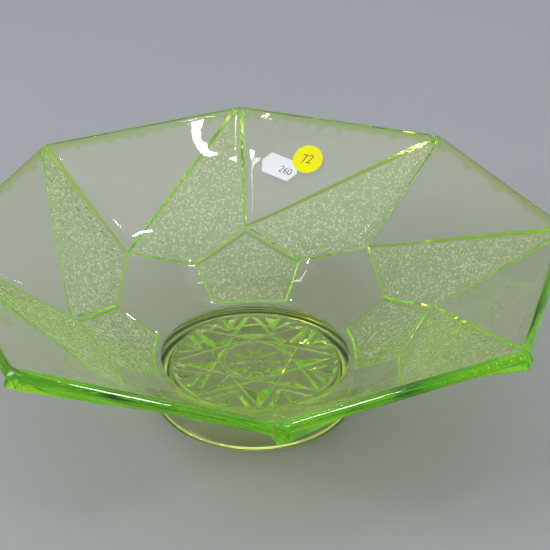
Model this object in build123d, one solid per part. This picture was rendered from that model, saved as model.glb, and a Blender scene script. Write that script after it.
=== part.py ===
from build123d import *
from math import asin, atan2, cos, degrees, hypot, pi, sin, tan
import os

# Pressed uranium-glass dish: an eight-sided bowl on a round foot, with a star pressed
# into the underside of its floor, and two paper stickers on the inside of one side.
# Millimetres, +Z up. The origin is the centre of the foot's underside, and the rim's
# corners stand at every 45 degrees from +X.

# ---- dish, overall
SIDES = 8
STEP = 2 * pi / SIDES
RIM_CORNER_R = 152.0      # outermost reach of a rim corner
HEIGHT = 89.2             # table to rim
WALL = 4.6                # side panels, without the raised parts
RIM_ROUND = 2.2           # both edges of the rim

# ---- outside of the side, as rings of eight points (radius, height)
WAIST_R, WAIST_Z = 88.5, 43.6     # where the panels end, on the corner directions
NOTCH_R, NOTCH_Z = 74.0, 33.4     # lowest point of each raised kite, between corners
BASE_R, BASE_Z = 50.6, 20.3       # where the side meets the foot, between corners
FLOOR_Z = 20.8                    # top of the floor
FLOOR_R = 46.0

# ---- raised parts on the outside
KITE_TIP = 5.0            # width of a kite where it meets the rim
KITE_GAP = 3.0            # from the rim's edge to the kite
KITE_RISE_RIM = 3.0
KITE_RISE_LOW = 1.0

# ---- foot and floor
FOOT_TOP_R = 47.4
FOOT_BASE_R = 50.0
FOOT_WALL = 6.0
FOOT_ROUND = 1.2
STAR_Z = 14.0             # underside of the floor
STAR_R = 40.5
STAR_SKIP = 3             # each ridge joins a point to the third one along
RIDGE_W = 1.8
RIDGE_H = 1.3
HUB_R = 15.5
PETAL_R = 8.6

# ---- stickers
LABEL_L, LABEL_W, LABEL_T = 21.5, 12.4, 0.2
LABEL_CUT = 2.9           # how far each point of the label stands beyond its long edges
LABEL_AT = (-24.3, -36.9)     # on the side: along the rim, and down from it
LABEL_TURN = -12.8
SPOT_R, SPOT_T = 8.2, 0.2
SPOT_AT = (-10.1, -29.9)


def ring(radius, height, half=False):
    """Eight points on a circle, on the corner directions or halfway between them."""
    turn = STEP / 2 if half else 0.0
    return [
        Vector(radius * cos(k * STEP + turn), radius * sin(k * STEP + turn), height)
        for k in range(SIDES)
    ]


def panel_slope():
    """Angle of a side panel above the table, across its middle."""
    half = WALL / 2
    run = (RIM_CORNER_R - WAIST_R) * cos(STEP / 2) - half
    rise = HEIGHT - half - WAIST_Z
    return atan2(rise, run) - asin(half / hypot(run, rise))


def rim_rings():
    """The rim's lower outer and upper inner edges, square to the panels."""
    slope = panel_slope()
    half = WALL / 2
    middle = RIM_CORNER_R * cos(STEP / 2) - half + half * cos(slope)
    waist = WAIST_R * cos(STEP / 2)
    outer = middle + half * sin(slope)
    outer_z = WAIST_Z + (outer - waist) * tan(slope)
    inner = outer - WALL * sin(slope)
    inner_z = outer_z + WALL * cos(slope)
    grow = 1 / cos(STEP / 2)
    return ring(outer * grow, outer_z), ring(inner * grow, inner_z)


def band(lower, upper):
    """Four-sided faces between two rings that face the same way."""
    n = SIDES
    return [
        Face(Wire.make_polygon([lower[k], lower[(k + 1) % n], upper[(k + 1) % n], upper[k]]))
        for k in range(n)
    ]


def zigzag(corners, halves):
    """Triangles between a ring on the corners and a ring between them."""
    faces = []
    for k in range(SIDES):
        after = (k + 1) % SIDES
        faces.append(Face(Wire.make_polygon([corners[k], corners[after], halves[k]])))
        faces.append(Face(Wire.make_polygon([corners[k], halves[k], halves[k - 1]])))
    return faces


def bowl():
    """The eight-sided bowl: outside, rim, inside and floor, with a rounded rim."""
    lift = WALL / cos(panel_slope())
    rim_out, rim_in = rim_rings()
    waist, waist_in = ring(WAIST_R, WAIST_Z), ring(WAIST_R, WAIST_Z + lift)
    notch = ring(NOTCH_R, NOTCH_Z, True)
    notch_in = ring(NOTCH_R, NOTCH_Z + lift, True)
    base, base_in = ring(BASE_R, BASE_Z, True), ring(BASE_R, BASE_Z + lift, True)
    floor, under = ring(FLOOR_R, FLOOR_Z, True), ring(BASE_R - 2, STAR_Z + 2, True)
    faces = [Face(Wire.make_polygon(floor)), Face(Wire.make_polygon(under))]
    faces += band(under, base) + band(base, notch) + zigzag(waist, notch)
    faces += band(waist, rim_out) + band(rim_out, rim_in) + band(waist_in, rim_in)
    faces += zigzag(waist_in, notch_in) + band(base_in, notch_in) + band(floor, base_in)
    body = Solid(Shell(faces))
    low, high = rim_out[0].Z - 0.01, rim_in[0].Z + 0.01
    edges = [e for e in body.edges() if on_rim(e, low, high)]
    return fillet(edges, RIM_ROUND)


def on_rim(edge, low, high):
    """True for the level edges that run round the rim."""
    ends = [edge @ 0, edge @ 1]
    level = abs(ends[0].Z - ends[1].Z) < 0.01
    return level and all(low < p.Z < high for p in ends)


def pad(points, rises, way):
    """A raised patch: a polygon on the side, thickened one way by its own rise at each point."""
    sunk = [p - way * 0.6 for p in points]
    top = [p + way * r for p, r in zip(points, rises)]
    count = len(points)
    sides = [
        Face(Wire.make_polygon([sunk[k], sunk[(k + 1) % count], top[(k + 1) % count], top[k]]))
        for k in range(count)
    ]
    ends = [Face(Wire.make_polygon(sunk)), Face(Wire.make_polygon(top))]
    return Solid(Shell(sides + ends))


def outward(a, b, c):
    """Unit normal of three points, turned away from the dish's middle."""
    n = (b - a).cross(c - a).normalized()
    return n if n.dot(Vector(a.X, a.Y, -60.0)) > 0 else n * -1


def kites():
    """Eight raised kites: a long triangle up to the rim's corner and a short one below."""
    rim_out, _ = rim_rings()
    waist, notch = ring(WAIST_R, WAIST_Z), ring(NOTCH_R, NOTCH_Z, True)
    pads = []
    for k in range(SIDES):
        corner, far = rim_out[k], rim_out[(k + 1) % SIDES]
        here, there, low = waist[k], waist[(k + 1) % SIDES], notch[k]
        drop = (here - corner).normalized() * (KITE_GAP / sin(1.1))
        along = (far - corner).normalized() * KITE_TIP
        n_up, n_low = outward(corner, here, there), outward(here, there, low)
        way = (n_up + n_low).normalized()
        tip, tip_side = corner + drop, corner + drop + along
        rise, small = KITE_RISE_RIM, KITE_RISE_LOW
        upper = [tip, here, there, tip_side]
        flat_rise = level_rise(upper, [rise, small, small], way)
        pads.append(pad(upper, flat_rise, way))
        pads.append(pad([here, low, there], [small] * 3, way))
    return pads


def level_rise(points, rises, way):
    """Rises for four points of a patch so that its top stays flat; three are given."""
    a, b, c = [p + way * r for p, r in zip(points, rises)]
    n = (b - a).cross(c - a)
    last = points[3]
    return rises + [(a - last).dot(n) / way.dot(n)]


def lower_pads():
    """Raised patches round the foot, under every other corner."""
    waist, notch = ring(WAIST_R, WAIST_Z), ring(NOTCH_R, NOTCH_Z, True)
    base = ring(BASE_R, BASE_Z, True)
    pads = []
    for k in range(0, SIDES, 2):
        n_up = outward(waist[k], notch[k], notch[k - 1])
        n_low = outward(notch[k], base[k], base[k - 1])
        way = (n_up + n_low).normalized()
        pads.append(pad([waist[k], notch[k], notch[k - 1]], [KITE_RISE_LOW] * 3, way))
        pads.append(pad([notch[k], base[k], base[k - 1], notch[k - 1]], [KITE_RISE_LOW] * 4, way))
    return pads


def foot():
    """Floor plate and foot ring, turned about the middle."""
    inner_top = STAR_R + 0.8
    inner_base = FOOT_BASE_R - FOOT_WALL
    points = [
        (0, STAR_Z), (inner_top, STAR_Z), (inner_base, 0), (FOOT_BASE_R, 0),
        (FOOT_TOP_R, STAR_Z + 3), (FOOT_TOP_R, FLOOR_Z), (0, FLOOR_Z),
    ]
    profile = Plane.XZ * Polygon(*points, align=None)
    ring_foot = revolve(profile, Axis.Z)
    edges = [e for e in ring_foot.edges() if abs(e.center().Z) < 0.01 and e.length > 200]
    return fillet(edges, FOOT_ROUND)


def star():
    """Relief under the floor: eight long ridges of a star, its hub, petals and rim fans."""
    height = RIDGE_H + 0.3
    place = Pos(0, 0, STAR_Z - RIDGE_H)
    tips = ring(STAR_R, 0)
    parts = []
    for k in range(SIDES):
        a, b = tips[k], tips[(k + STAR_SKIP) % SIDES]
        turn = degrees(atan2(b.Y - a.Y, b.X - a.X))
        mid = (a + b) * 0.5
        bar = Rectangle((b - a).length - 2.0, RIDGE_W)
        parts.append(Pos(mid.X, mid.Y, 0) * Rot(0, 0, turn) * bar)
        angle = degrees(k * STEP)
        parts.append(Rot(0, 0, angle) * Pos(PETAL_R, 0) * Ellipse(4.6, 1.7))
        parts.append(Rot(0, 0, angle + 22.5) * Pos(STAR_R - 4.5, 0) * Rectangle(7.0, 1.4))
    parts.append(Circle(HUB_R + RIDGE_W / 2) - Circle(HUB_R - RIDGE_W / 2))
    parts.append(Circle(2.4))
    shape = parts[0]
    for more in parts[1:]:
        shape = shape + more
    rim = Circle(STAR_R) - Circle(STAR_R - RIDGE_W)
    return place * extrude(shape + rim, height)


def dish():
    """The whole glass casting as one solid."""
    body = bowl() + foot()
    for patch in kites() + lower_pads():
        body = body + patch
    return body + star()


def sticker_plane():
    """Face of the inside of the side that carries the stickers, at the rim's middle."""
    middle = 1.5 * STEP
    slope = panel_slope()
    reach = RIM_CORNER_R * cos(STEP / 2)
    waist = WAIST_R * cos(STEP / 2)
    lift = WALL / cos(slope)
    height = WAIST_Z + lift + (reach - waist) * tan(slope)
    along = (sin(middle), -cos(middle), 0)
    inward = (-cos(middle) * sin(slope), -sin(middle) * sin(slope), cos(slope))
    at = (reach * cos(middle), reach * sin(middle), height)
    return Plane(origin=at, x_dir=along, z_dir=inward)


def price_label():
    """Small six-sided price-gun label, lying on the glass."""
    half_l, half_w = LABEL_L / 2, LABEL_W / 2
    straight = half_l - LABEL_CUT
    outline = Polygon(
        (-half_l, 0), (-straight, -half_w), (straight, -half_w),
        (half_l, 0), (straight, half_w), (-straight, half_w), align=None,
    )
    return sticker_plane() * Pos(*LABEL_AT) * Rot(0, 0, LABEL_TURN) * extrude(outline, LABEL_T)


def lot_sticker():
    """Round sticker, on the glass and over one end of the price label."""
    disc = sticker_plane() * Pos(*SPOT_AT) * extrude(Circle(SPOT_R), LABEL_T + SPOT_T)
    return disc - price_label()


os.makedirs("parts", exist_ok=True)
export_step(dish(), "parts/glass_dish.step")
export_step(price_label(), "parts/price_label.step")
export_step(lot_sticker(), "parts/lot_sticker.step")
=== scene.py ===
"""Pressed uranium-glass dish on a pale table, with a price label and a round sticker inside."""
import bpy
import bmesh
import math
import numpy as np
from mathutils import Matrix, Vector
from mathutils.geometry import delaunay_2d_cdt


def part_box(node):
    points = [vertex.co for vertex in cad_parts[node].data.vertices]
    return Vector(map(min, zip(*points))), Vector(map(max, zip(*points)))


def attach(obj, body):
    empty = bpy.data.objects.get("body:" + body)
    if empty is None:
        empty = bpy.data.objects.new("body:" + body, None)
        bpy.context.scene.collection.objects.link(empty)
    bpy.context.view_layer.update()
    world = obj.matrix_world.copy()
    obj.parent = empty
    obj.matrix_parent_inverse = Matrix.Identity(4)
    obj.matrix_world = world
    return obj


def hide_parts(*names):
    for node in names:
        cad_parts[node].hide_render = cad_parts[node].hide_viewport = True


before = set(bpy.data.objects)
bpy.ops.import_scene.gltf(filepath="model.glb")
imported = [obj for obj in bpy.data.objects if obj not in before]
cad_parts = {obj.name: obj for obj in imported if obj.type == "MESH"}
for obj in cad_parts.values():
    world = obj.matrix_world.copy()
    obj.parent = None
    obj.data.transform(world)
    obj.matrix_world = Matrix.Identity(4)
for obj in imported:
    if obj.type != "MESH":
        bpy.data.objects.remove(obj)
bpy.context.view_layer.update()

MM = 0.001
SIDES = 8
STEP = math.tau / SIDES
HALF = STEP / 2

# ---- colours
CLEAR = (1.0, 1.0, 1.0, 1)
# painted light: deep green at the rim and the pads' steps, for light carried inside the glass
PAINTED_EDGE_TINT = (0.52, 0.82, 0.04, 1)
# tint of the stipple, and of its painted shade in random cells
FROSTED_AND_PAINTED_SHADE = (0.80, 0.91, 0.50, 1)
FAINT_GLOW = (0.001, 0.003, 0.0, 1)
PAD_GLOW = (0.013, 0.042, 0.001, 1)
EDGE_GLOW = (0.035, 0.10, 0.0, 1)
GLINT = (0.27, 0.30, 0.18, 1)
GRAIN = 820.0             # pits of the stipple to a metre

WALLS = (0.30, 0.33, 0.38, 1)      # light from the sides of the room, and from above
CEILING = (0.62, 0.65, 0.69, 1)
CEILING_FROM = 0.8                 # rise of a direction where the ceiling's light is full
BODY, BODY_DENSITY = (0.84, 0.955, 0.04, 1), 50.0     # what the glass takes up on the way
TABLE_DARK, TABLE_LIGHT = (0.36, 0.36, 0.375, 1), (0.385, 0.385, 0.40, 1)
WHITE, WHITE_WORN = (0.86, 0.86, 0.88, 1), (0.76, 0.76, 0.79, 1)
YELLOW, YELLOW_WORN = (0.86, 0.80, 0.002, 1), (0.76, 0.70, 0.002, 1)
NO_GLOW, YELLOW_GLOW = (0.0, 0.0, 0.0, 1), (0.08, 0.075, 0.0, 1)
PRINT_INK, PEN_INK = (0.05, 0.055, 0.07, 1), (0.06, 0.05, 0.01, 1)

# ---- the dish, in millimetres
RIM_CORNER_R = 149.4      # outside of the side where it turns into the rim
RIM_SIDE_Z = 84.0
RIM_TURN = 3.0            # plan radius of the rim's corners
RIM_WALL = 5.4
RIPPLE = 0.011            # slow waves of the pressed inside
RIM_FLATNESS = 0.74       # 1 is a round rim, less is flatter on top
RIM_BULGE = 0.82          # the rim's rise over half its thickness
RIM_FADE = 144.5, 147.0   # where the rim's painted deep tint and painted glow fade in over the side
FLOOR_Z = 20.8
FOOT_R = 47.4
FLOOR_BLEND = 3.0         # how softly the side runs into the floor
WALL_SLANT = 1.26         # the wall's upright thickness over its own thickness
STAR_R = 40.9
STAR_Z = 14.0

# corner radius and height of the outside, from the foot up to the rim
SIDE_R = [47.4, 47.7, 48.7, 50.6, 62.0, 74.5, 88.5, 110.0, 130.0, RIM_CORNER_R, 153.0]
SIDE_Z = [16.8, 18.0, 19.1, 20.3, 26.2, 33.7, 43.6, 57.8, 71.0, RIM_SIDE_Z, 86.2]
WALL_R, WALL_T = [50, 75, 125, 146], [4.4, 4.1, 4.3, RIM_WALL]
ROUND_R = [50.6, 74.5, 88.5, 120.0, RIM_CORNER_R]
ROUND_B = [1.0, 0.80, 0.32, 0.05, 0.0]


# ------------------------------------------------------------------ small helpers
def smooth_curve(xs, ys):
    """A monotone cubic through points, as a function of an array."""
    xs, ys = np.array(xs, float), np.array(ys, float)
    h, d = np.diff(xs), np.diff(ys) / np.diff(xs)
    m = np.zeros_like(xs)
    for i in range(1, len(xs) - 1):
        if d[i - 1] * d[i] > 0:
            w1, w2 = 2 * h[i] + h[i - 1], h[i] + 2 * h[i - 1]
            m[i] = (w1 + w2) / (w1 / d[i - 1] + w2 / d[i])
    m[0], m[-1] = d[0], d[-1]

    def value(x):
        x = np.clip(x, xs[0], xs[-1])
        i = np.clip(np.searchsorted(xs, x) - 1, 0, len(xs) - 2)
        t = (x - xs[i]) / h[i]
        a, b = 2 * t**3 - 3 * t**2 + 1, t**3 - 2 * t**2 + t
        c, e = -2 * t**3 + 3 * t**2, t**3 - t**2
        return a * ys[i] + b * h[i] * m[i] + c * ys[i + 1] + e * h[i] * m[i + 1]

    return value


side_height = smooth_curve(SIDE_R, SIDE_Z)
roundness = smooth_curve(ROUND_R, ROUND_B)


def octagon(corner_r, azimuth, turn):
    """Plan radius of an octagon with rounded corners, in a direction."""
    apothem = corner_r * math.cos(HALF)
    off = (azimuth + HALF) % STEP - HALF
    centre = (apothem - turn) / math.cos(HALF)
    edge = apothem / np.cos(HALF - np.abs(off))
    reach = np.arctan2(turn * math.sin(HALF), centre + turn * math.cos(HALF))
    inside = np.maximum(turn**2 - (centre * np.sin(off)) ** 2, 0)
    arc = centre * np.cos(off) + np.sqrt(inside)
    return np.where(np.abs(off) < reach, arc, edge)


def plan_radius(corner_r, azimuth, turn):
    """Radius of the side in a direction, where its corner radius is corner_r."""
    b = roundness(corner_r)
    return (1 - b) * octagon(corner_r, azimuth, turn) + b * corner_r


def corner_radius(x, y, turn):
    """The corner radius of the level curve of the side that goes through a point."""
    r, azimuth = np.hypot(x, y), np.arctan2(y, x)
    guess = r.copy()
    for _ in range(30):
        guess = guess * r / np.maximum(plan_radius(guess, azimuth, turn), 1e-6)
    return guess


def outside(x, y):
    """Height of the plain outside of the side at plan points."""
    return side_height(corner_radius(x, y, RIM_TURN))


def slopes(height, x, y, e=0.05):
    """Unit normals, pointing down and out, of a height over the plan."""
    dx = (height(x + e, y) - height(x - e, y)) / (2 * e)
    dy = (height(x, y + e) - height(x, y - e)) / (2 * e)
    n = np.stack([dx, dy, -np.ones_like(dx)], 1)
    return n / np.linalg.norm(n, axis=1)[:, None]


def polar(r, degrees):
    a = math.radians(degrees)
    return np.array([r * math.cos(a), r * math.sin(a)])


def inside_polygon(points, polygon):
    """True for the plan points inside a polygon."""
    x, y = points[:, 0], points[:, 1]
    hit = np.zeros(len(points), bool)
    for (x0, y0), (x1, y1) in zip(polygon, np.roll(polygon, -1, 0)):
        cross = (y0 > y) != (y1 > y)
        with np.errstate(divide="ignore", invalid="ignore"):
            at = (x1 - x0) * (y - y0) / (y1 - y0) + x0
        hit ^= cross & (x < at)
    return hit


def line_distance(points, line):
    """Distance of plan points from the nearest piece of a line."""
    best = np.full(len(points), np.inf)
    for a, b in zip(line[:-1], line[1:]):
        ab = b - a
        t = np.clip(((points - a) @ ab) / (ab @ ab), 0, 1)
        gap = points - (a + t[:, None] * ab)
        best = np.minimum(best, np.hypot(gap[:, 0], gap[:, 1]))
    return best


def edge_distance(points, polygon):
    """Distance of plan points from the nearest edge of a polygon."""
    return line_distance(points, np.vstack([polygon, polygon[:1]]))


# ------------------------------------------------------------------ plan of the raised pads
# directions of the rim's points, in degrees from a corner; the named ones end a pad's edges
TIP_RIDGE, TOE_RIDGE = 0.0, -1.0
TIP_FLANK, TOE_FLANK = 1.5, 2.5
PAD_STEP = 1.0            # width of the step down from a pad, away from the rim
RIM_STEPS = [
    -22.5, -21, -19.5, -18, -16.5, -15, -13.5, -12, -10.5, -9, -7.5, -6, -4.5, -3.2, -2.2, -1.5,
    TOE_RIDGE, -0.6, -0.3, TIP_RIDGE, 0.35, 0.8, TIP_FLANK, 2.0, TOE_FLANK,
    3.2, 4.5, 6, 7.5, 9, 10.5, 12, 13.5, 15, 16.5, 18, 19.5, 21,
]
PAD_REACH = [50, 75, 88, 146]         # how far the pads stand off, by distance from the middle
PAD_TALL = [0.8, 0.9, 1.0, 3.3]
STIPPLE_EDGE = 0.15       # plain border of the stipple inside a pad's edge


def rim_plan(degrees):
    a = math.radians(degrees)
    return polar(float(octagon(RIM_CORNER_R, np.array(a), RIM_TURN)), degrees)


def side_plan(corner_r, degrees):
    a = math.radians(degrees)
    return polar(float(plan_radius(np.array(corner_r), np.array(a), RIM_TURN)), degrees)


def crossing(first, second):
    """Where two lines in the plan cross, each given by two points."""
    (a, b), (c, d) = first, second
    share = np.linalg.solve(np.column_stack([b - a, c - d]), c - a)[0]
    return a + (b - a) * share


def toe_outline(top, width, ends=None):
    """A pad's outline where it meets the side: its top's edges moved out by a width.

    With ends, the outline is open and starts and stops at those two points of the rim."""
    after = np.roll(top, -1, 0)
    way = np.sign((top[:, 0] * after[:, 1] - after[:, 0] * top[:, 1]).sum())
    lines = []
    for a, b in zip(top, after):
        along = (b - a) / np.hypot(*(b - a))
        out = np.array([along[1], -along[0]]) * way * width
        lines.append([a + out, b + out])
    if ends is None:
        return np.array([crossing(p, q) for p, q in zip([lines[-1]] + lines[:-1], lines)])
    lines = lines[:-1]
    lines[0][0], lines[-1][1] = ends
    corners = [crossing(p, q) for p, q in zip(lines[:-1], lines[1:])]
    return np.array([ends[0], *corners, ends[1]])


def kite_plan(at):
    """Top and toe outlines of the kite under the corner at a direction, in degrees."""
    top = np.array([
        rim_plan(at + TIP_RIDGE), side_plan(89.8, at + 0.55), side_plan(76.0, at + 22.5),
        side_plan(89.8, at + 44.1), rim_plan(at + TIP_FLANK),
    ])
    return top, toe_outline(top, PAD_STEP, (rim_plan(at + TOE_RIDGE), rim_plan(at + TOE_FLANK)))


def wedge_plan(at):
    """Top and toe outlines of the low pad between two kites and the foot."""
    top = [(86.2, 0), (73.9, 21.5), (52.8, 20.9), (52.1, 10.5), (51.9, 0), (52.1, -10.5),
           (52.8, -20.9), (73.9, -21.5)]
    top = np.array([side_plan(r, at + degrees) for r, degrees in top])
    return top, toe_outline(top, PAD_STEP)


PADS = [kite_plan(45 * k) for k in range(SIDES)] + [wedge_plan(90 * k + 90) for k in range(4)]


def pad_height(points):
    """How far the pads stand off the side at plan points, and how much is stipple."""
    reach = np.hypot(points[:, 0], points[:, 1])
    tall = np.interp(reach, PAD_REACH, PAD_TALL)
    rise, grain = np.zeros(len(points)), np.zeros(len(points))
    for top, toe in PADS:
        on_top, on_toe = edge_distance(points, top), edge_distance(points, toe)
        in_top = inside_polygon(points, top) | (on_top < 0.02)
        in_toe = inside_polygon(points, toe) | (on_toe < 0.02)
        share = np.where(in_top, 1.0, np.where(in_toe, on_toe / (on_toe + on_top + 1e-9), 0.0))
        rise = np.maximum(rise, share)
        grain = np.maximum(grain, np.where(in_top, np.clip(on_top - STIPPLE_EDGE, 0, 1), 0))
    return rise * tall, grain, rise


def lattice(half_width, gap, seed, shake=0.18):
    """A shaken triangular lattice over a square."""
    rng = np.random.default_rng(seed)
    rows = np.arange(-half_width, half_width, gap * math.sqrt(3) / 2)
    cols = np.arange(-half_width, half_width, gap)
    x, y = np.meshgrid(cols, rows)
    x = x + np.where(np.arange(len(rows)) % 2, gap / 2, 0)[:, None]
    points = np.stack([x.ravel(), y.ravel()], 1)
    return points + rng.uniform(-shake, shake, points.shape) * gap


def triangulate(points, edges):
    """Constrained Delaunay triangles of plan points."""
    verts, _, faces, _, _, _ = delaunay_2d_cdt(
        [Vector(p) for p in points.tolist()], [tuple(e) for e in edges], [], 0, 1e-4
    )
    return np.array([v[:] for v in verts]), np.array(faces)


class Outline:
    """Collects plan points and the edges that must stay, then triangulates them."""

    def __init__(self):
        self.points, self.edges = [], []

    def line(self, corners, gap=3.0, closed=True, exact=False):
        """A chain of edges through corners, cut into pieces about gap long."""
        corners = [np.array(c, float) for c in corners]
        chain = corners + [corners[0]] if closed else corners
        start = len(self.points)
        for a, b in zip(chain[:-1], chain[1:]):
            cuts = 1 if exact else max(1, round(float(np.hypot(*(b - a))) / gap))
            self.points += [a + (b - a) * i / cuts for i in range(cuts)]
        if not closed:
            self.points.append(chain[-1])
        count = len(self.points) - start
        last = count if closed else count - 1
        self.edges += [(start + i, start + (i + 1) % count) for i in range(last)]

    def scatter(self, points):
        self.points += list(points)


rim_directions = np.radians([45 * k + d for k in range(SIDES) for d in RIM_STEPS])
FOOT_STEPS = 192
foot_directions = np.arange(FOOT_STEPS) * math.tau / FOOT_STEPS
FINE, COARSE = 0.84, 4.2  # gaps between points on the stippled pads, and on the plain side
SLIVER = 0.01             # triangles whose middle is nearer the rim line than this are flat


def outside_skin():
    """The outside of the side, from the foot to the rim, with its raised pads."""
    plan = Outline()
    rim = octagon(RIM_CORNER_R, rim_directions, RIM_TURN)
    rim_points = np.stack([rim * np.cos(rim_directions), rim * np.sin(rim_directions)], 1)
    foot = FOOT_R * np.stack([np.cos(foot_directions), np.sin(foot_directions)], 1)
    plan.line(rim_points, exact=True)
    plan.line(foot, exact=True)
    for top, toe in PADS:
        open_top = len(top) == 5
        plan.line(top, 1.2, closed=not open_top)
        plan.line(toe, 1.6, closed=not open_top)
    fine = lattice(152, FINE, 3)
    coarse = lattice(152, COARSE, 4)
    creases = [
        polar(r, 45 * k) + polar(d, 45 * k + 90)
        for k in range(SIDES) for r in np.arange(62, 148, 1.8) for d in (-4.4, -3.2, -2.2, -1.5)
    ]
    near_pad = np.zeros(len(fine), bool)
    clear = np.ones(len(coarse), bool)
    for top, toe in PADS:
        away = edge_distance(fine, top)
        near_pad |= inside_polygon(fine, top) & (away > 0.45)
        clear &= ~inside_polygon(coarse, toe) & (edge_distance(coarse, toe) > 1.2)
    plan.scatter(fine[near_pad & in_ring(fine, 1.0)])
    plan.scatter(coarse[clear & in_ring(coarse, 2.0)])
    creases = np.array(creases)
    plan.scatter(creases[outside_pads(creases)])
    for r in (47.75, 48.4, 49.4, 50.3):
        plan.scatter(foot * r / FOOT_R)
    verts, faces = triangulate(np.array(plan.points), plan.edges)
    keep = in_ring(verts[faces].mean(1), SLIVER)
    faces = faces[keep]
    rise, grain, share = pad_height(verts)
    z = outside(verts[:, 0], verts[:, 1])
    normal = slopes(outside, verts[:, 0], verts[:, 1])
    at = np.column_stack([verts, z]) + normal * rise[:, None]
    rim_tint = rim_share(verts[:, 0], verts[:, 1])
    return at, faces, {"stipple": grain, "pad": share, "rim": rim_tint}


def rim_share(x, y):
    """How much of the rim's painted deep tint and painted glow a plan point has, from 0 to 1."""
    level = corner_radius(x, y, RIM_TURN)
    return np.clip((level - RIM_FADE[0]) / (RIM_FADE[1] - RIM_FADE[0]), 0, 1)


def outside_pads(points):
    """True for plan points that lie clear of every raised pad."""
    clear = np.ones(len(points), bool)
    for _, toe in PADS:
        clear &= ~inside_polygon(points, toe) & (edge_distance(points, toe) > 0.5)
    return clear


def in_ring(points, margin):
    """True between the foot circle and the rim, by at least a margin."""
    r, azimuth = np.hypot(points[:, 0], points[:, 1]), np.arctan2(points[:, 1], points[:, 0])
    rim = octagon(RIM_CORNER_R, azimuth, RIM_TURN)
    return (r > FOOT_R + margin * 0.6) & (r < rim - margin)


def inner_height(corner_r, x, y):
    """Height of the glossy inside, with the slow ripple of pressed glass."""
    wall = side_height(corner_r) + np.interp(corner_r, WALL_R, WALL_T) * WALL_SLANT
    bend = FLOOR_BLEND * np.exp(-np.abs(wall - FLOOR_Z) / FLOOR_BLEND) * 0.35
    top = np.maximum(wall, FLOOR_Z) + bend
    ripple = (
        np.sin(x / 7.1 + 0.8 * np.sin(y / 13.0)) * np.sin(y / 6.3 + 1.3)
        + 0.8 * np.sin(x / 11.3 - y / 9.1 + 2.0)
    )
    return top + RIPPLE * ripple * np.clip((146 - corner_r) / 8, 0, 1)


def rings_to_faces(rows, count):
    """Quads between rows of count points that close round."""
    i = np.arange(count)
    j = (i + 1) % count
    quads = []
    for row in range(rows - 1):
        a, b = row * count, (row + 1) * count
        quads.append(np.stack([a + i, a + j, b + j, b + i], 1))
    return np.concatenate(quads)


RIM_ROWS, INSIDE_ROWS = 17, 62
MIDDLE_R = 1.2            # the smallest ring, round the middle of the floor


def inside_skin():
    """The rounded rim and the inside down to the middle of the floor."""
    count = len(rim_directions)
    rim = octagon(RIM_CORNER_R, rim_directions, RIM_TURN)
    x, y = rim * np.cos(rim_directions), rim * np.sin(rim_directions)
    normal = slopes(outside, x, y)
    rise, _, _ = pad_height(np.stack([x, y], 1))
    outer = np.column_stack([x, y, outside(x, y)]) + normal * rise[:, None]
    inner_r = RIM_CORNER_R - RIM_WALL * 0.61 / math.cos(HALF)
    turn = RIM_TURN + 1.0
    r = octagon(inner_r, rim_directions, turn)
    ix, iy = r * np.cos(rim_directions), r * np.sin(rim_directions)
    inner = np.column_stack([ix, iy, inner_height(np.full(count, inner_r), ix, iy)])
    chord = outer - inner
    thick = np.linalg.norm(chord, axis=1)[:, None]
    flat = np.column_stack([x, y, np.zeros(count)])
    tangent = np.roll(outer, -1, 0) - np.roll(outer, 1, 0)
    up = np.cross(tangent, chord)
    up /= np.linalg.norm(up, axis=1)[:, None]
    up *= np.sign((up * (flat + [0, 0, 150.0])).sum(1))[:, None]
    rows = []
    for phi in np.linspace(0, math.pi, RIM_ROWS):
        across = math.copysign(abs(math.cos(phi)) ** RIM_FLATNESS, math.cos(phi))
        rise_here = up * np.minimum(thick, RIM_WALL * 1.1) / 2 * math.sin(phi) ** RIM_FLATNESS
        rows.append((outer + inner) / 2 + chord / 2 * across + rise_here * RIM_BULGE)
    for t in np.linspace(0, 1, INSIDE_ROWS)[1:]:
        level = inner_r * (1 - t) + MIDDLE_R * t
        turn_here = np.interp(level, [60, inner_r], [18, turn])
        r = plan_radius(np.full(count, level), rim_directions, turn_here)
        x, y = r * np.cos(rim_directions), r * np.sin(rim_directions)
        rows.append(np.column_stack([x, y, inner_height(np.full(count, level), x, y)]))
    at = np.concatenate(rows)
    faces = rings_to_faces(len(rows), count)
    middle = np.array([[0, 0, rows[-1][:, 2].mean()]])
    last = (len(rows) - 1) * count
    fan = [(last + i, last + (i + 1) % count, len(at)) for i in range(count)]
    return np.concatenate([at, middle]), faces, fan


FOOT_PROFILE = [
    (47.4, 16.8), (47.45, 15.0), (47.7, 12.0), (48.3, 8.0), (49.1, 4.0), (49.6, 2.4),
    (49.75, 1.5), (49.7, 0.9), (49.4, 0.4), (48.9, 0.1), (48.2, 0.0), (46.6, 0.0),
    (45.7, 0.05), (45.1, 0.3), (44.7, 0.8), (44.4, 1.6), (43.8, 4.0), (42.9, 8.0),
    (42.1, 11.2), (41.6, 12.9), (41.2, 13.6), (STAR_R, STAR_Z),
]


def foot_skin():
    """The foot ring, from the side down, under and up to the floor's underside."""
    rows = []
    for r, z in FOOT_PROFILE:
        x, y = r * np.cos(foot_directions), r * np.sin(foot_directions)
        rows.append(np.column_stack([x, y, np.full(FOOT_STEPS, z)]))
    return np.concatenate(rows), rings_to_faces(len(rows), FOOT_STEPS)


# ------------------------------------------------------------------ star under the floor
HUB_R = 15.3
STAR_TIP_R = 40.0
FAN_R, FAN_SPREAD = 28.5, 13.0        # where each small fan starts, and its half angle
CHORD_BOW = 1.6
FACET_SLOPE, FACET_DEPTH = 0.52, 3.0
HUB_SLOPE = 0.8
DIMPLE_R = 2.5            # round dot in the middle of the hub's petals
GROOVE_GLOW = 0.75        # half the width of the light along each groove


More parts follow.
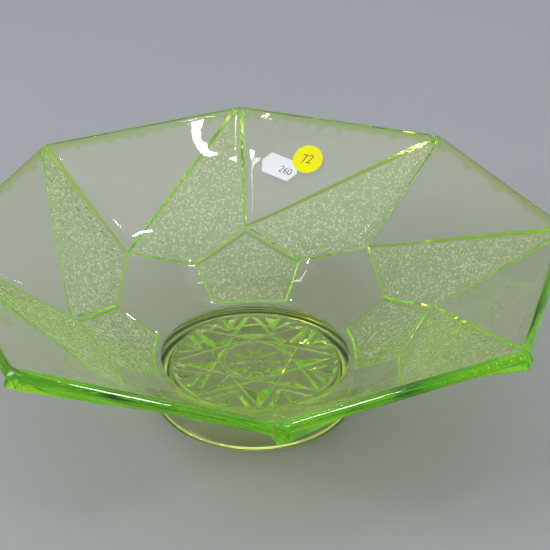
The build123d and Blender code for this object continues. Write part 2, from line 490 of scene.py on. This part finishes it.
def star_lines():
    """Grooves of the star: long bowed chords, and small fans between the tips."""
    lines = []
    for k in range(SIDES):
        a, b = polar(STAR_TIP_R, 45 * k), polar(STAR_TIP_R, 45 * k + 135)
        middle = (a + b) / 2
        bow = middle / np.hypot(*middle) * CHORD_BOW
        t = np.linspace(0, 1, 15)[:, None]
        lines.append(a * (1 - t) + b * t + bow * (4 * t * (1 - t)))
        root = polar(FAN_R, 45 * k + 22.5)
        for spread in (-FAN_SPREAD, 0.0, FAN_SPREAD):
            lines.append(np.array([root, polar(STAR_TIP_R, 45 * k + 22.5 + spread)]))
    return lines


def groove_distance(points, lines):
    """Distance of plan points from the nearest groove of the star."""
    r = np.hypot(points[:, 0], points[:, 1])
    gap = np.abs(r - HUB_R)
    for line in lines:
        gap = np.minimum(gap, np.where(r > HUB_R - 0.5, line_distance(points, line), 99))
    return gap


def star_depth(points, gap):
    """Depth of the facets below the star's grooves."""
    r = np.hypot(points[:, 0], points[:, 1])
    azimuth = np.arctan2(points[:, 1], points[:, 0])
    facet = np.minimum(gap * FACET_SLOPE, FACET_DEPTH)
    petal = np.abs(np.sin(azimuth * SIDES / 2 + math.pi / 2))
    out = np.clip((r - DIMPLE_R) / (HUB_R - DIMPLE_R - 1.0), 0, 1)
    hub = 0.25 + 1.3 * petal * np.sin(out * math.pi)
    hub = np.where(r < DIMPLE_R, 0.9 * (1 - (r / DIMPLE_R) ** 2) + 0.2, hub)
    inner = np.minimum(hub, gap * HUB_SLOPE)
    edge = np.clip((STAR_TIP_R + 0.6 - r) / 1.2, 0, 1)
    return np.where(r < HUB_R, inner, facet) * edge


def star_skin():
    """The underside of the floor, with the star in relief."""
    plan = Outline()
    ring = STAR_R * np.stack([np.cos(foot_directions), np.sin(foot_directions)], 1)
    plan.line(ring, exact=True)
    lines = star_lines()
    for line in lines:
        plan.line(line, 0.9, closed=False)
    hub = [polar(HUB_R, a) for a in np.arange(0, 360, 3.0)]
    plan.line(hub, exact=True)
    fine = lattice(42, 0.78, 5, 0.05)
    r = np.hypot(fine[:, 0], fine[:, 1])
    clear = (r < STAR_R - 0.5) & (np.abs(r - HUB_R) > 0.3)
    for line in lines:
        clear &= line_distance(fine, line) > 0.3
    plan.scatter(fine[clear])
    verts, faces = triangulate(np.array(plan.points), plan.edges)
    inside_circle = np.hypot(*verts[faces].mean(1).T) < STAR_R
    gap = groove_distance(verts, lines)
    groove = np.clip(1 - gap / GROOVE_GLOW, 0, 1)
    z = STAR_Z - star_depth(verts, gap)
    return np.column_stack([verts, z]), faces[inside_circle], groove


MASKS = "stipple", "pad", "rim", "groove"
WELD = 2e-6               # metres
CREASE = math.radians(20)


def mesh_from(name, skins):
    """One closed mesh from skins that meet edge to edge, with a value per point for each mask."""
    mesh = bmesh.new()
    layers = {mask: mesh.verts.layers.float.new(mask) for mask in MASKS}
    for at, faces, masks in skins:
        verts = [mesh.verts.new(p) for p in (at * MM).tolist()]
        for mask, values in masks.items():
            for vert, value in zip(verts, values.tolist()):
                vert[layers[mask]] = value
        for face in faces:
            mesh.faces.new([verts[i] for i in face])
    bmesh.ops.remove_doubles(mesh, verts=mesh.verts, dist=WELD)
    bmesh.ops.recalc_face_normals(mesh, faces=mesh.faces)
    for face in mesh.faces:
        face.smooth = True
    for edge in mesh.edges:
        edge.smooth = edge.calc_face_angle(0.0) < CREASE
    steps = mesh.faces.layers.float.new("step")
    for face in mesh.faces:
        raised = [vert[layers["pad"]] for vert in face.verts[:3]]
        face[steps] = float(max(raised) - min(raised) > 0.4 and min(raised) < 0.9)
    data = bpy.data.meshes.new(name)
    mesh.to_mesh(data)
    mesh.free()
    return data


def dish_mesh():
    """The dish's whole surface: outside, inside, foot and star."""
    outer, outer_faces, outer_masks = outside_skin()
    inner, inner_faces, fan = inside_skin()
    foot, foot_faces = foot_skin()
    star, star_faces, groove = star_skin()
    return mesh_from("pressed_dish", [
        (outer, outer_faces.tolist(), outer_masks),
        (inner, inner_faces.tolist() + fan, {"rim": rim_share(inner[:, 0], inner[:, 1])}),
        (foot, foot_faces.tolist(), {}),
        (star, star_faces.tolist(), {"groove": groove}),
    ])


# ------------------------------------------------------------------ stickers
LABEL_HALF_L, LABEL_HALF_W, LABEL_POINT = 10.8, 6.2, 2.9
LABEL_TURN = -12.8
SPOT_R = 8.2
PAPER = 0.14              # thickness of both papers
GLUE = 0.04
INK_SUNK, INK_PROUD = 0.01, 0.02      # how far the ink goes into the paper, and stands off it
LABEL_CURL = 0.3          # rise of the label's free end
CURL_FROM, CURL_LENGTH = 5.5, 5.0
CLIMB = 1.2               # how far from the label's edge the round sticker starts to climb
LABEL_WRITING = (0.2, -2.6)   # where the figures start, from each sticker's middle
SPOT_WRITING = (-3.6, -2.4)
STICKER_SIDE = 1.5 * STEP     # the panel that carries them
ALONG = np.array([math.sin(STICKER_SIDE), -math.cos(STICKER_SIDE)])
UPHILL = np.array([math.cos(STICKER_SIDE), math.sin(STICKER_SIDE)])
PANEL_RISE = math.atan((SIDE_Z[8] - SIDE_Z[7]) / (SIDE_R[8] - SIDE_R[7]) / math.cos(HALF))


def turned(degrees):
    """Matrix that turns plan points, given as rows."""
    c, s = math.cos(math.radians(degrees)), math.sin(math.radians(degrees))
    return np.array([[c, s], [-s, c]])


def smooth_path(points, cuts=6):
    """A curve through points, a few pieces between each two."""
    p = np.array([points[0], *points, points[-1]], float)
    t = np.linspace(0, 1, cuts, endpoint=False)[:, None]
    rows = []
    for a, b, c, d in zip(p[:-3], p[1:-2], p[2:-1], p[3:]):
        rows.append(0.5 * (2 * b + (c - a) * t + (2 * a - 5 * b + 4 * c - d) * t**2
                           + (3 * b - a - 3 * c + d) * t**3))
    return np.concatenate(rows + [p[-1:]])


# strokes of figures in a box half as wide as it is high
FIGURES = {
    "0": [[(0.25, 1.0), (0.08, 0.85), (0.0, 0.5), (0.08, 0.15), (0.25, 0.0), (0.42, 0.15),
           (0.5, 0.5), (0.42, 0.85), (0.25, 1.0)]],
    "2": [[(0.02, 0.80), (0.12, 0.96), (0.30, 1.0), (0.46, 0.88), (0.46, 0.68), (0.28, 0.38),
           (0.0, 0.0)], [(0.0, 0.0), (0.5, 0.0)]],
    "6": [[(0.42, 0.98), (0.15, 0.72), (0.02, 0.36), (0.08, 0.08), (0.25, 0.0), (0.43, 0.08),
           (0.48, 0.28), (0.38, 0.47), (0.2, 0.48), (0.05, 0.32)]],
    "7": [[(0.0, 1.0), (0.5, 1.0)], [(0.5, 1.0), (0.16, 0.0)]],
}


def ribbon(path, width):
    """Plan points and faces of a flat stroke along a path."""
    along = np.gradient(path, axis=0)
    along /= np.linalg.norm(along, axis=1)[:, None]
    side = np.column_stack([-along[:, 1], along[:, 0]]) * width / 2
    n = len(path)
    faces = [(i, i + 1, n + i + 1, n + i) for i in range(n - 1)]
    return np.concatenate([path + side, path - side]), faces


def writing(figures, height, at, turn, slant, width, gap):
    """Strokes of a few figures, set in a row from a point on the sticker."""
    strokes = []
    for i, figure in enumerate(figures):
        for stroke in FIGURES[figure]:
            path = smooth_path(stroke) * height
            path[:, 0] += path[:, 1] * slant + i * gap
            path = path @ turned(turn) + at
            strokes.append(ribbon(path, width))
    return strokes


def sticker_sheet(outline):
    """Plan points and triangles of a sheet of paper."""
    plan = Outline()
    plan.line(outline, 0.7)
    fill = lattice(12, 0.9, 9, 0.1)
    inside = inside_polygon(fill, outline) & (edge_distance(fill, outline) > 0.45)
    plan.scatter(fill[inside])
    verts, faces = triangulate(np.array(plan.points), plan.edges)
    return verts, faces[inside_polygon(verts[faces].mean(1), outline)]


def on_glass(centre, local, lift):
    """Points on the sticker's panel, lifted off the glossy inside."""
    across = np.outer(local[:, 0], ALONG)
    plan = centre[:2] + across + np.outer(local[:, 1], UPHILL) * math.cos(PANEL_RISE)
    level = corner_radius(plan[:, 0], plan[:, 1], RIM_TURN)
    z = inner_height(level, plan[:, 0], plan[:, 1])
    normal = np.array([*(-UPHILL * math.sin(PANEL_RISE)), math.cos(PANEL_RISE)])
    return np.column_stack([plan, z]) + lift[:, None] * normal


def slab(points, faces, centre, low, high):
    """A closed sheet on the glass, between two heights at each point."""
    faces = [tuple(int(i) for i in f) for f in faces]
    once = set()
    for f in faces:
        for edge in zip(f, f[1:] + f[:1]):
            if edge[::-1] in once:
                once.remove(edge[::-1])
            else:
                once.add(edge)
    n = len(points)
    verts = np.concatenate([on_glass(centre, points, high), on_glass(centre, points, low)])
    walls = [(a, b, n + b, n + a) for a, b in once]
    return verts, faces + [tuple(n + i for i in f[::-1]) for f in faces] + walls


def sticker(name, node, outline, lift, strokes, paper, ink):
    """A paper sticker in the place of its CAD solid, with figures written on it."""
    low, high = (np.array(corner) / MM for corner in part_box(node))
    centre = (low + high) / 2
    points, faces = sticker_sheet(outline)
    glue = lift(points)
    pieces = [(*slab(points, faces, centre, glue, glue + PAPER), 0)]
    for path, quads in strokes:
        top = lift(path) + PAPER
        pieces.append((*slab(path, quads, centre, top - INK_SUNK, top + INK_PROUD), 1))
    verts, polygons, slots = [], [], []
    for at, loops, slot in pieces:
        start = len(verts)
        verts += (at * MM).tolist()
        polygons += [tuple(start + i for i in loop) for loop in loops]
        slots += [slot] * len(loops)
    data = bpy.data.meshes.new(name)
    data.from_pydata(verts, [], polygons)
    data.materials.append(paper)
    data.materials.append(ink)
    for polygon, slot in zip(data.polygons, slots):
        polygon.material_index = slot
    shell = bmesh.new()
    shell.from_mesh(data)
    bmesh.ops.recalc_face_normals(shell, faces=shell.faces)
    shell.to_mesh(data)
    shell.free()
    piece = add_object(name, data)
    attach(piece, "root")
    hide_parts(node)
    return piece


def label_outline():
    flat = LABEL_HALF_L - LABEL_POINT
    corners = np.array([
        (-LABEL_HALF_L, 0), (-flat, -LABEL_HALF_W), (flat, -LABEL_HALF_W),
        (LABEL_HALF_L, 0), (flat, LABEL_HALF_W), (-flat, LABEL_HALF_W),
    ])
    return corners @ turned(LABEL_TURN)


def label_lift(points):
    """The label's free end has come up a little."""
    return GLUE + LABEL_CURL * np.clip((-points[:, 0] - CURL_FROM) / CURL_LENGTH, 0, 1) ** 2


def spot_lift(points):
    """The round sticker climbs onto the label's end."""
    label, spot = (
        sum(np.array(corner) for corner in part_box(node)) / 2 / MM
        for node in ("price_label", "lot_sticker")
    )
    gap = (spot - label)[:2]
    there = points + np.array([gap @ ALONG, gap @ UPHILL / math.cos(PANEL_RISE)])
    outline = label_outline()
    away = np.where(inside_polygon(there, outline), 0, edge_distance(there, outline))
    return GLUE + (PAPER + INK_PROUD + 0.01) * np.clip(CLIMB - away / CLIMB, 0, 1)


def make_stickers():
    """The printed price label and the round hand-written sticker."""
    white = paper_material("white_paper", WHITE, WHITE_WORN, NO_GLOW)
    yellow = paper_material("yellow_paper", YELLOW, YELLOW_WORN, YELLOW_GLOW)
    print_ink = ink_material("print_ink", PRINT_INK, 0.6)
    pen_ink = ink_material("pen_ink", PEN_INK, 0.35)
    printed = writing("260", 3.6, LABEL_WRITING, LABEL_TURN, slant=0.05, width=0.42, gap=2.45)
    written = writing("72", 4.6, SPOT_WRITING, 6.0, slant=0.28, width=0.5, gap=3.4)
    label = sticker(
        "price_label_paper", "price_label", label_outline(), label_lift, printed, white, print_ink
    )
    round_edge = SPOT_R * np.array([polar(1.0, a) for a in np.arange(0, 360, 5.0)])
    spot = sticker(
        "lot_sticker_paper", "lot_sticker", round_edge, spot_lift, written, yellow, pen_ink
    )


# ------------------------------------------------------------------ stage
def add_object(name, data):
    ob = bpy.data.objects.new(name, data)
    bpy.context.scene.collection.objects.link(ob)
    return ob


LENS, SENSOR = 94.03855, 36.0                 # millimetres
CAMERA_UP, CAMERA_ROLL, CAMERA_TURN = (math.radians(d) for d in (30.66, 0.45, -4.18))
CAMERA_AIM = Vector((0.0096, -0.03525, 0.0884))
CAMERA_REACH = 0.6441                         # metres from the aim to the camera


def make_camera():
    """The camera looks down across the near corner of the rim."""
    back = Vector((0, -math.cos(CAMERA_UP), math.sin(CAMERA_UP)))
    right = Vector((1, 0, 0))
    top = back.cross(right)
    x = right * math.cos(CAMERA_ROLL) + top * math.sin(CAMERA_ROLL)
    rows = Matrix((x, back.cross(x), back)).transposed().to_4x4()
    place = Matrix.Translation(CAMERA_AIM + back * CAMERA_REACH)
    data = bpy.data.cameras.new("camera")
    data.sensor_width = SENSOR
    data.lens = LENS
    data.clip_start = 0.01
    camera = add_object("camera", data)
    camera.matrix_world = Matrix.Rotation(CAMERA_TURN, 4, "Z") @ place @ rows
    bpy.context.scene.camera = camera


class Sum:
    """A shader value; sums and products of it add their Math nodes."""

    def __init__(self, paint, socket):
        self.paint, self.socket = paint, socket

    def math(self, operation, first, second):
        return self.paint.node("ShaderNodeMath", {"operation": operation}, {0: first, 1: second})

    def __add__(self, other):
        return self.math("ADD", self, other)

    def __mul__(self, other):
        return self.math("MULTIPLY", self, other)

    __radd__, __rmul__ = __add__, __mul__


class Paint:
    """A material, with one method that adds any node to it."""

    def __init__(self, name):
        self.material = bpy.data.materials.new(name)
        self.material.use_nodes = True
        self.tree = self.material.node_tree
        self.surface = self.tree.nodes["Principled BSDF"]

    def node(self, kind, settings, sockets, out=0):
        """Adds a node: its settings first, then its sockets' values or links."""
        made = self.tree.nodes.new(kind)
        for name, value in settings.items():
            setattr(made, name, value)
        self.set(made, sockets)
        return Sum(self, made.outputs[out])

    def set(self, node, sockets):
        for name, value in sockets.items():
            if isinstance(value, Sum):
                self.tree.links.new(value.socket, node.inputs[name])
            else:
                node.inputs[name].default_value = value

    def mix(self, share, first, second):
        """A colour between two, by a share."""
        settings = {"data_type": "RGBA"}
        values = {"Factor": share, "A": first, "B": second}
        return self.node("ShaderNodeMix", settings, values, "Result")

    def attribute(self, name):
        return self.node("ShaderNodeAttribute", {"attribute_name": name}, {}, "Fac")

    def noise(self, scale, detail=2.0, rough=0.5):
        place = self.node("ShaderNodeTexCoord", {}, {}, "Object")
        values = {"Vector": place, "Scale": scale, "Detail": detail, "Roughness": rough}
        return self.node("ShaderNodeTexNoise", {}, values, "Fac")

    def between(self, value, low, high):
        """0 at low and short of it, 1 at high and past it, smooth between."""
        settings = {"interpolation_type": "SMOOTHSTEP"}
        values = {"Value": value, "From Min": low, "From Max": high}
        return self.node("ShaderNodeMapRange", settings, values)

    def cells(self, scale, out):
        """Random cells: each point's distance from its cell's middle, or the cell's own colour."""
        place = self.node("ShaderNodeTexCoord", {}, {}, "Object")
        return self.node("ShaderNodeTexVoronoi", {}, {"Vector": place, "Scale": scale}, out)

    def bump(self, height, reach):
        return self.node("ShaderNodeBump", {}, {"Height": height, "Distance": reach}, "Normal")


TABLE_HALF = 9.0          # metres


def make_stage():
    """A wide table, and the room's light: dimmer from the sides than from above."""
    data = bpy.data.meshes.new("table")
    s = TABLE_HALF
    data.from_pydata([(-s, -s, 0), (s, -s, 0), (s, s, 0), (-s, s, 0)], [], [(0, 1, 2, 3)])
    data.materials.append(table_material())
    add_object("table", data)
    world = bpy.data.worlds.new("room")
    bpy.context.scene.world = world
    world.use_nodes = True
    new, link = world.node_tree.nodes.new, world.node_tree.links.new
    height = new("ShaderNodeSeparateXYZ")
    link(new("ShaderNodeTexCoord").outputs["Generated"], height.inputs[0])
    shade = new("ShaderNodeMapRange")
    shade.interpolation_type = "SMOOTHSTEP"
    shade.inputs["From Max"].default_value = CEILING_FROM
    link(height.outputs["Z"], shade.inputs["Value"])
    sky = new("ShaderNodeMix")
    sky.data_type = "RGBA"
    sky.inputs["A"].default_value, sky.inputs["B"].default_value = WALLS, CEILING
    link(shade.outputs[0], sky.inputs["Factor"])
    link(sky.outputs["Result"], world.node_tree.nodes["Background"].inputs["Color"])


def lamp(name, at, look, size, power, colour=(1, 1, 1)):
    data = bpy.data.lights.new(name, "AREA")
    data.shape = "RECTANGLE"
    data.size, data.size_y = size
    data.energy = power
    data.color = colour
    ob = add_object(name, data)
    ob.location = at
    ob.rotation_euler = (Vector(look) - Vector(at)).to_track_quat("-Z", "Y").to_euler()
    return ob


STRIP_Z = 1.6             # metres, height of the ceiling lamps
STRIP_GLARE = 45.0        # how bright each lamp's face is
STRIPS = [                # ends of each lamp's middle line, and its width
    ("strip_right", (0.668, 0.03), (0.695, -0.06), 0.012),
    ("strip_right_end", (0.600, 0.10), (0.655, 0.115), 0.012),
    ("strip_left", (-0.56, 0.00), (-0.50, 0.10), 0.012),
    ("strip_far", (1.46, 1.91), (1.60, 1.90), 0.03),
    ("lamp_right", (1.36, -1.24), (1.63, -1.16), 0.22),
    ("lamp_left", (-1.45, -1.14), (-1.27, -1.20), 0.22),
]


def table_material():
    """A plain pale matt top."""
    paint = Paint("table")
    cloud = paint.noise(3.0)
    paint.set(paint.surface, {
        "Base Color": paint.mix(cloud, TABLE_DARK, TABLE_LIGHT),
        "Roughness": 0.55,
    })
    return paint.material


def glass_material():
    """Yellow-green glass, clear where thin, with a deep tint painted at the rim and along the
    pads' edges.
    """
    paint = Paint("uranium_glass")
    stipple, step, groove = (paint.attribute(mask) for mask in ("stipple", "step", "groove"))
    rim = paint.between(paint.attribute("rim"), 0.45, 1.0)
    pit = paint.cells(GRAIN, "Distance")
    chance = paint.cells(GRAIN, "Color")
    glint = paint.between(pit, 0.50, 0.30) * paint.between(chance, 0.44, 0.54) * stipple
    shade = paint.between(chance, 0.44, 0.34) * stipple
    # painted light: the rim and the pads' steps tinted deep green, for light carried inside the
    # glass
    tint = paint.mix(paint.between(rim * 0.65 + step, 0.0, 1.0), CLEAR, PAINTED_EDGE_TINT)
    # the stipple's tint, with random cells tinted further as painted shade
    tint = paint.mix(stipple * 0.6 + shade * 0.4, tint, FROSTED_AND_PAINTED_SHADE)
    lit = rim * 0.06 + step + groove
    glow = paint.mix(paint.between(lit, 0.0, 1.0), FAINT_GLOW, EDGE_GLOW)
    glow = paint.mix(stipple, glow, PAD_GLOW)
    height = paint.noise(70.0, 1.0) * 0.15 + pit * stipple * 0.5
    paint.set(paint.surface, {
        "Base Color": tint,
        "Roughness": paint.noise(160.0) * 0.016 + stipple * 0.06 + 0.004,
        "IOR": 1.51,
        "Transmission Weight": 1.0,
        "Emission Color": paint.mix(glint, glow, GLINT),
        "Emission Strength": 1.0,
        "Normal": paint.bump(height, 0.2 * MM),
    })
    body = {"Color": BODY, "Density": BODY_DENSITY}
    absorb = paint.node("ShaderNodeVolumeAbsorption", {}, body, "Volume")
    paint.set(paint.tree.nodes["Material Output"], {"Volume": absorb})
    return paint.material


def paper_material(name, light, dark, glow):
    """Matt coated paper: fine fibres, and a little wear."""
    paint = Paint(name)
    fibre = paint.noise(900.0, 3.0, 0.6)
    patch = paint.noise(160.0, 2.0)
    paint.set(paint.surface, {
        "Base Color": paint.mix(fibre * 0.6 + patch * 0.4, dark, light),
        "Roughness": paint.noise(300.0) * 0.2 + 0.55,
        "Specular IOR Level": 0.2,
        "Emission Color": glow,
        "Emission Strength": 1.0,
        "Normal": paint.bump(fibre, 0.03 * MM),
    })
    return paint.material


def ink_material(name, colour, rough):
    """Ink on paper, thinner in places."""
    paint = Paint(name)
    faded = tuple(c * 1.6 + 0.02 for c in colour[:3]) + (1,)
    paint.set(paint.surface, {
        "Base Color": paint.mix(paint.noise(1500.0, 2.0), colour, faded),
        "Roughness": paint.noise(400.0) * 0.15 + rough,
    })
    return paint.material


def stipple_nodes():
    """Roughens the masked faces of a mesh with a random height at each point."""
    tree = bpy.data.node_groups.new("stipple", "GeometryNodeTree")
    sock = tree.interface.new_socket
    sock("Geometry", in_out="INPUT", socket_type="NodeSocketGeometry")
    sock("Depth", in_out="INPUT", socket_type="NodeSocketFloat")
    sock("Seed", in_out="INPUT", socket_type="NodeSocketInt")
    sock("Glass", in_out="INPUT", socket_type="NodeSocketMaterial")
    sock("Geometry", in_out="OUTPUT", socket_type="NodeSocketGeometry")
    new, link = tree.nodes.new, tree.links.new
    given, result = new("NodeGroupInput"), new("NodeGroupOutput")
    mask = new("GeometryNodeInputNamedAttribute")
    mask.inputs["Name"].default_value = "stipple"
    chance = new("FunctionNodeRandomValue")
    chance.inputs[2].default_value, chance.inputs[3].default_value = -1.0, 1.0
    link(given.outputs["Seed"], chance.inputs["Seed"])
    height = new("ShaderNodeMath")
    height.operation = "MULTIPLY"
    link(chance.outputs[1], height.inputs[0])
    link(given.outputs["Depth"], height.inputs[1])
    masked = new("ShaderNodeMath")
    masked.operation = "MULTIPLY"
    link(height.outputs[0], masked.inputs[0])
    link(mask.outputs[0], masked.inputs[1])
    offset = new("ShaderNodeVectorMath")
    offset.operation = "SCALE"
    link(new("GeometryNodeInputNormal").outputs[0], offset.inputs[0])
    link(masked.outputs[0], offset.inputs["Scale"])
    move = new("GeometryNodeSetPosition")
    link(given.outputs["Geometry"], move.inputs["Geometry"])
    link(offset.outputs[0], move.inputs["Offset"])
    real = new("GeometryNodeRealizeInstances")
    link(move.outputs[0], real.inputs[0])
    paint = new("GeometryNodeSetMaterial")
    link(real.outputs[0], paint.inputs["Geometry"])
    link(given.outputs["Glass"], paint.inputs["Material"])
    link(paint.outputs[0], result.inputs[0])
    return tree


def with_nodes(ob, tree, values):
    """Runs a node tree on an object and keeps the result as its plain mesh."""
    mod = ob.modifiers.new("nodes", "NODES")
    mod.node_group = tree
    names = {i.name: i.identifier for i in tree.interface.items_tree if i.in_out == "INPUT"}
    for name, value in values.items():
        mod[names[name]] = value
    bpy.context.view_layer.update()
    ready = ob.evaluated_get(bpy.context.evaluated_depsgraph_get())
    mesh = bpy.data.meshes.new_from_object(ready)
    ob.modifiers.clear()
    ob.data = mesh


def make_lamps():
    """A window on the left, a soft box overhead and narrow lamps at ceiling height."""
    lamp("window", (-2.2, -0.6, 1.5), (0, 0, 0), (1.2, 1.2), 34, (0.95, 0.98, 1.0))
    lamp("overhead", (0.05, -0.25, 1.7), (0, 0, 0), (1.6, 1.0), 2.5, (1.0, 0.99, 0.95))
    up = Vector((0, 0, 1))
    for name, start, end, wide in STRIPS:
        a, b = Vector((*start, STRIP_Z)), Vector((*end, STRIP_Z))
        long = (b - a).length
        power = STRIP_GLARE * math.pi * long * wide
        strip = lamp(name, (a + b) / 2, (0, 0, 0), (long, wide), power)
        x = (b - a).normalized()
        strip.rotation_euler = Matrix((x, up.cross(x), up)).transposed().to_euler()


make_camera()
make_stage()
make_lamps()

dish = add_object("pressed_dish", dish_mesh())
glass = glass_material()
dish.data.materials.append(glass)
with_nodes(dish, stipple_nodes(), {"Depth": 0.24 * MM, "Seed": 7, "Glass": glass})
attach(dish, "root")
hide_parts("glass_dish")
make_stickers()

scene = bpy.context.scene
scene.cycles.max_bounces = 22
scene.cycles.transmission_bounces = 22
scene.cycles.glossy_bounces = 12
scene.view_settings.view_transform = "Standard"
